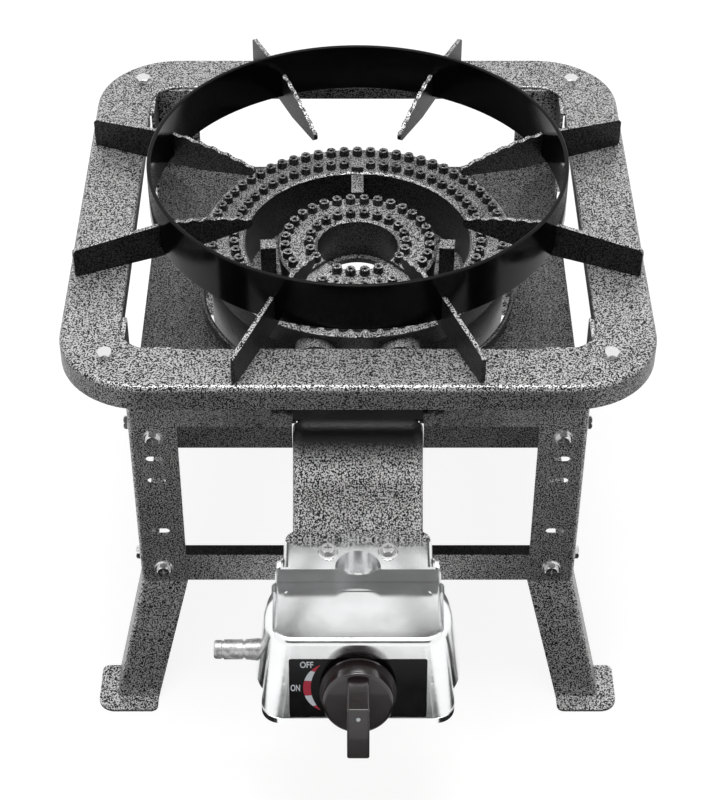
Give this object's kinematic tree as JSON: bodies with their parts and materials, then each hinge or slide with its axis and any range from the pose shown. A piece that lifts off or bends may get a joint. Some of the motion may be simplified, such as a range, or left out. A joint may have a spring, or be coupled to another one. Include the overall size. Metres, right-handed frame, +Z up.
{
  "type": "stock pot range",
  "caption": "Low free-standing gas burner on slotted legs with a two-ring cast burner, a lift-off pot ring with fins, and a plated valve box with a push-and-turn knob.",
  "frame": {"origin": "centre of the part's bounding box at floor level", "axes": "+X to the right as the cook faces the knob, +Y from the knob to the back, +Z up; the floor is z = 0"},
  "size_m": [0.4, 0.5549, 0.37],
  "materials": {
    "hammertone": "silver-black hammertone paint",
    "gloss_black": "glossy black enamel",
    "zinc_steel": "bright zinc plate",
    "cast_iron": "rough painted casting with machined nozzle rims",
    "chrome": "bright plate",
    "dial_black": "gloss black printed plate",
    "knob_black": "satin gloss",
    "white_dot": "paint fill",
    "valve_brass": "plain machined",
    "spring_steel": "plain",
    "cast_aluminium": "matt casting"
  },
  "bodies": {
    "stand": {"top_frame": "hammertone", "frame_corner_bolts": "zinc_steel", "frame_corner_nuts": "zinc_steel", "rear_right_leg": "hammertone", "rear_left_leg": "hammertone", "front_right_leg": "hammertone", "front_left_leg": "hammertone", "upper_leg_screws": "zinc_steel", "upper_leg_nuts": "zinc_steel", "lower_leg_screws": "zinc_steel", "lower_leg_nuts": "zinc_steel", "rear_brace": "hammertone", "front_brace": "hammertone", "right_brace": "hammertone", "left_brace": "hammertone", "burner_tray": "hammertone", "left_burner_strap": "hammertone", "right_burner_strap": "hammertone", "burner_strap_screws": "zinc_steel", "burner_body": "cast_iron", "outer_burner_ring": "cast_iron", "inner_burner_ring": "cast_iron", "burner_ring_screws": "zinc_steel", "neck_shroud": "hammertone", "neck_screws": "zinc_steel", "plated_bracket": "chrome", "bracket_screws": "zinc_steel", "side_screws": "zinc_steel", "valve_cover": "chrome", "dial_plate": "dial_black", "valve_body": "valve_brass", "valve_cap": "valve_brass", "valve_screws": "zinc_steel", "left_injector": "valve_brass", "right_injector": "valve_brass", "hose_nipple": "cast_aluminium"},
    "valve_plug": {"valve_plug": "valve_brass", "valve_spring": "spring_steel"},
    "knob": {"valve_spindle": "spring_steel", "knob": "knob_black", "knob_pointer_dot": "white_dot"},
    "left_air_shutter": {"left_air_shutter": "spring_steel"},
    "right_air_shutter": {"right_air_shutter": "spring_steel"},
    "pot_stand": {"pot_ring": "gloss_black", "pot_fin_1": "hammertone", "pot_fin_2": "hammertone", "pot_fin_3": "hammertone", "pot_fin_4": "hammertone", "pot_fin_5": "hammertone", "pot_fin_6": "hammertone", "pot_fin_7": "hammertone", "pot_fin_8": "hammertone"}
  },
  "joints": [
    {"name": "knob_turn", "type": "hinge", "parent": "stand", "child": "valve_plug", "pos_m": [0, -0.21946, 0.14501], "axis": [0, -0.9613, 0.2756], "range_deg": [0, 120]},
    {"name": "knob_push", "type": "slide", "parent": "valve_plug", "child": "knob", "axis": [0, 0.9613, -0.2756], "range_m": [0, 0.003], "stiffness_N_per_m": 900, "springref_m": -0.002},
    {"name": "left_air_shutter_turn", "type": "hinge", "parent": "stand", "child": "left_air_shutter", "pos_m": [-0.027, -0.14677, 0.14531], "axis": [0, 0.891, 0.454], "range_deg": [0, 85]},
    {"name": "right_air_shutter_turn", "type": "hinge", "parent": "stand", "child": "right_air_shutter", "pos_m": [0.027, -0.14677, 0.14531], "axis": [0, 0.891, 0.454], "range_deg": [0, 85]},
    {"name": "pot_stand_lift", "type": "slide", "parent": "stand", "child": "pot_stand", "axis": [0, 0, 1], "range_m": [0, 0.15]}
  ]
}
